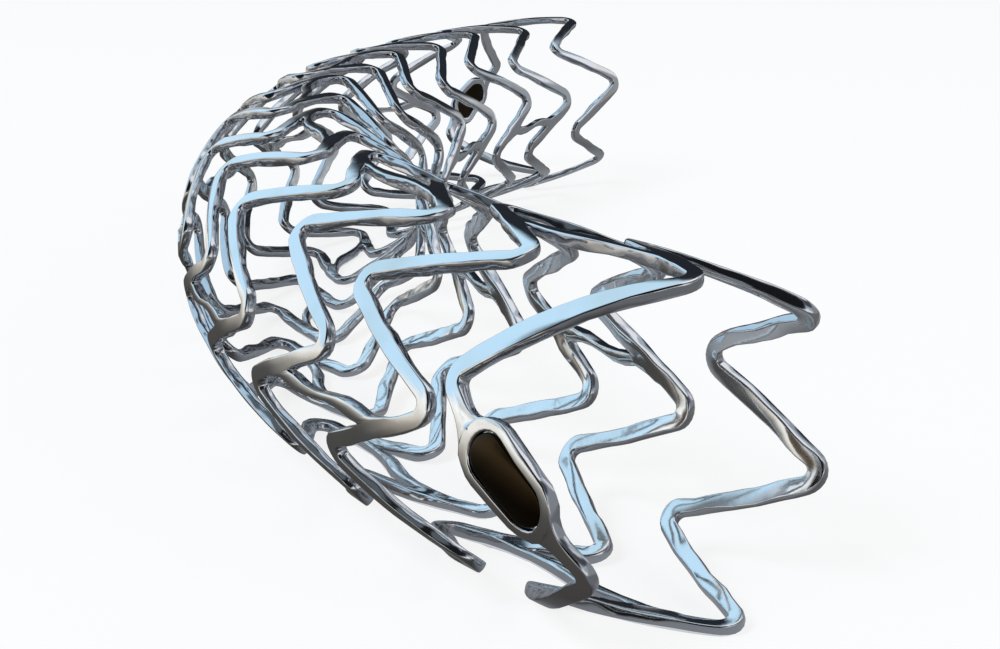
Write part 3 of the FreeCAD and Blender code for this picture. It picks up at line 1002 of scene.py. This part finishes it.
def painted_reflection_dome():
    """Painted reflections on the light dome, read by the direction it is seen in from the middle.

    The dome glows and only polished metal sees it. A painted bright horizon under a grey sky, with a
    blue patch of painted sky on the left, dark patches of painted shade behind and in front, a painted
    softbox overhead and dark streaks. It gives polished metal its long blue faces and dark edges as
    painted reflections.
    """
    material, tree = new_material("light dome, painted reflections")
    place = node(tree, "TexCoord")
    way = node(tree, "VectorMath", {0: place.outputs["Object"]}, operation="NORMALIZE")
    axes = node(tree, "SeparateXYZ", {0: way.outputs[0]})
    bands = node(tree, "ValToRGB", {"Fac": axes.outputs["Z"]})
    fill_ramp(bands.color_ramp, [(math.sin(math.radians(rise)), tone) for rise, tone in DOME_BANDS])
    streaks = node(tree, "TexNoise", {"Vector": way.outputs[0]}, Scale=STREAK_SCALE, Detail=3)
    streaked = node(
        tree, "MapRange", {"Value": streaks.outputs["Fac"]},
        From_Min=0.5, From_Max=0.66, To_Max=STREAK_SHARE,
    )
    layers = [(streaked, STREAK_TONE)]
    # Each patch lays a painted reflection of sky, shade or a softbox over the bands.
    for azimuth, elevation, radius, softness, tone in DOME_PATCHES:
        turn, rise = math.radians(azimuth), math.radians(elevation)
        middle = (-math.cos(rise) * math.cos(turn), math.cos(rise) * math.sin(turn), math.sin(rise))
        nearness = node(tree, "VectorMath", {0: way.outputs[0]}, operation="DOT_PRODUCT")
        nearness.inputs[1].default_value = middle
        patch = node(
            tree, "MapRange", {"Value": nearness.outputs["Value"]},
            interpolation_type="SMOOTHSTEP",
            From_Min=math.cos(math.radians(radius + softness)), From_Max=math.cos(math.radians(radius)),
        )
        layers.append((patch, tone))
    print_colour = bands.outputs["Color"]
    for share, tone in layers:
        mixed = {"Factor": share.outputs["Result"], "A": print_colour}
        laid = node(tree, "Mix", mixed, data_type="RGBA", B=linear(tone))
        print_colour = laid.outputs["Result"]
    glow = node(tree, "Emission", {"Color": print_colour}, Strength=DOME_GLOW)
    node(tree, "OutputMaterial", {"Surface": glow.outputs[0]})
    return material


def painted_reflection_ground(sizes):
    """Painted reflections on a glowing sheet just over the floor that only polished metal sees: paler
    under the tube, painted shade dark on both sides of it, painted white light far off.

    It is read by the distance from the circle that the tube is bent to, so the tube mirrors the same
    painted reflection all along. The tube is the same on both sides of the bend centre, so one end
    serves for both.
    """
    material, tree = new_material("painted reflection ground, printed")
    reach = (sizes.ring_count * sizes.ring_pitch / 2 + sizes.end_gap) / sizes.bend_radius
    end = Vector((math.sin(reach), -math.cos(reach), 0))
    centre = (sizes.bend_centre[0], sizes.bend_centre[1], GROUND_HEIGHT)
    place = node(tree, "NewGeometry")
    spot = node(tree, "VectorMath", {0: place.outputs["Position"]}, operation="SUBTRACT")
    spot.inputs[1].default_value = centre
    radius = node(tree, "VectorMath", {0: spot.outputs[0]}, operation="LENGTH")
    share = node(
        tree, "MapRange", {"Value": radius.outputs["Value"]},
        From_Min=sizes.bend_radius - GROUND_REACH, From_Max=sizes.bend_radius + GROUND_REACH,
    )
    # Tones of painted reflection by distance from the tube: painted shade beside it, painted light far off.
    tones = node(tree, "ValToRGB", {"Fac": share.outputs["Result"]})
    stops = [((distance * MM / GROUND_REACH + 1) / 2, tone) for distance, tone in GROUND_TONES]
    fill_ramp(tones.color_ramp, stops)
    axes = node(tree, "SeparateXYZ", {0: spot.outputs[0]})
    folded = node(tree, "Math", {0: axes.outputs["X"]}, operation="ABSOLUTE")
    folded = node(tree, "CombineXYZ", {"X": folded.outputs[0], "Y": axes.outputs["Y"]})
    past_end = node(tree, "VectorMath", {0: folded.outputs[0]}, operation="CROSS_PRODUCT")
    past_end.inputs[1].default_value = end
    past_end = node(tree, "SeparateXYZ", {0: past_end.outputs[0]})
    end_share = node(
        tree, "MapRange", {"Value": past_end.outputs["Z"]},
        interpolation_type="SMOOTHSTEP", From_Max=-END_REACH,
    )
    mixed = {"Factor": end_share.outputs["Result"], "A": tones.outputs["Color"]}
    laid = node(tree, "Mix", mixed, data_type="RGBA", B=linear(END_TONE))
    glow = node(tree, "Emission", {"Color": laid.outputs["Result"]})
    node(tree, "OutputMaterial", {"Surface": glow.outputs[0]})
    return material


def studio_world():
    """Soft grey surround, white where the camera, metal or glass looks straight at it."""
    world = bpy.data.worlds.new("studio surround")
    world.use_nodes = True
    tree = world.node_tree
    tree.nodes.clear()
    soft = node(tree, "Background", Color=linear(SURROUND_TONE), Strength=SURROUND_GLOW)
    white = node(tree, "Background", Color=linear("#FFFFFF"))
    mixed = {0: looked_at(tree), 1: soft.outputs[0], 2: white.outputs[0]}
    mix = node(tree, "MixShader", mixed)
    node(tree, "OutputWorld", {"Surface": mix.outputs[0]})
    return world


def area_lamp(name, place, side, power, tint):
    """Soft lamp at a place, turned to the origin. Polished metal doesn't mirror it."""
    data = bpy.data.lights.new(name, "AREA")
    data.size = side
    data.energy = power
    data.color = linear(tint)[:3]
    lamp = put(name, data)
    lamp.location = place
    lamp.rotation_euler = (-Vector(place)).to_track_quat("-Z", "Y").to_euler()
    lamp.visible_glossy = False


def aimed_camera(studio, bend_centre):
    """Camera at the photograph's viewing angle."""
    data = bpy.data.cameras.new("camera")
    data.lens = studio.camera_lens
    data.sensor_width = CAMERA_SENSOR
    data.clip_start, data.clip_end = CAMERA_CLIP
    camera = put("camera", data)
    camera.location = Vector(bend_centre) + Vector(studio.camera_place)
    camera.rotation_euler = studio.camera_turn
    return camera


class SCAFFOLD_OT_stage(bpy.types.Operator):
    """Set the floor, the surround, the light dome, the ground cloth, the lamps and the camera"""

    bl_idname = "scaffold.stage"
    bl_label = "Stage"

    def execute(self, context):
        scene = context.scene
        studio = scene.scaffold_studio
        floor = flat_square("floor", studio.floor_size)
        floor.data.materials.append(white_floor())
        scene.world = studio_world()
        dome = light_dome(studio.dome_radius)
        # Its glowing print is painted reflections that only polished metal sees.
        dome.data.materials.append(painted_reflection_dome())
        mirrored_only(dome)
        # Sheet of painted reflections and painted shade just over the floor, seen only by polished metal.
        ground = flat_square("painted reflection ground", 2 * studio.dome_radius)
        ground.location.z = GROUND_HEIGHT
        ground.data.materials.append(painted_reflection_ground(scene.scaffold_sizes))
        mirrored_only(ground)
        for name, lamp in LAMPS.items():
            area_lamp(name, *lamp)
        scene.camera = aimed_camera(studio, scene.scaffold_sizes.bend_centre)
        scene.view_settings.view_transform = "Standard"
        return {"FINISHED"}


class SCAFFOLD_PT_panel(bpy.types.Panel):
    """The scaffold's pieces and its studio"""

    bl_label = "Scaffold"
    bl_idname = "SCAFFOLD_PT_panel"
    bl_space_type = "VIEW_3D"
    bl_region_type = "UI"
    bl_category = "Scaffold"

    def draw(self, context):
        for name, kind in GROUPS.items():
            box = self.layout.box()
            for setting in kind.__annotations__:
                box.prop(getattr(context.scene, name), setting)
        for operator in OPERATORS:
            self.layout.operator(operator.bl_idname)


GROUPS = {
    "scaffold_sizes": ScaffoldSizes,
    "scaffold_finish": ScaffoldFinish,
    "scaffold_studio": ScaffoldStudio,
}
OPERATORS = (SCAFFOLD_OT_lattice, SCAFFOLD_OT_markers, SCAFFOLD_OT_stage)


def register():
    """Adds the groups of settings, the operators and the panel to Blender."""
    for name, group in GROUPS.items():
        bpy.utils.register_class(group)
        setattr(bpy.types.Scene, name, PointerProperty(type=group))
    for kind in (*OPERATORS, SCAFFOLD_PT_panel):
        bpy.utils.register_class(kind)


def unregister():
    """Takes them out again."""
    for kind in (SCAFFOLD_PT_panel, *reversed(OPERATORS)):
        bpy.utils.unregister_class(kind)
    for name, group in reversed(GROUPS.items()):
        delattr(bpy.types.Scene, name)
        bpy.utils.unregister_class(group)


def main():
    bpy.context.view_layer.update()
    register()
    bpy.ops.scaffold.lattice()
    bpy.ops.scaffold.markers()
    bpy.ops.scaffold.stage()


if __name__ == "__main__":
    main()
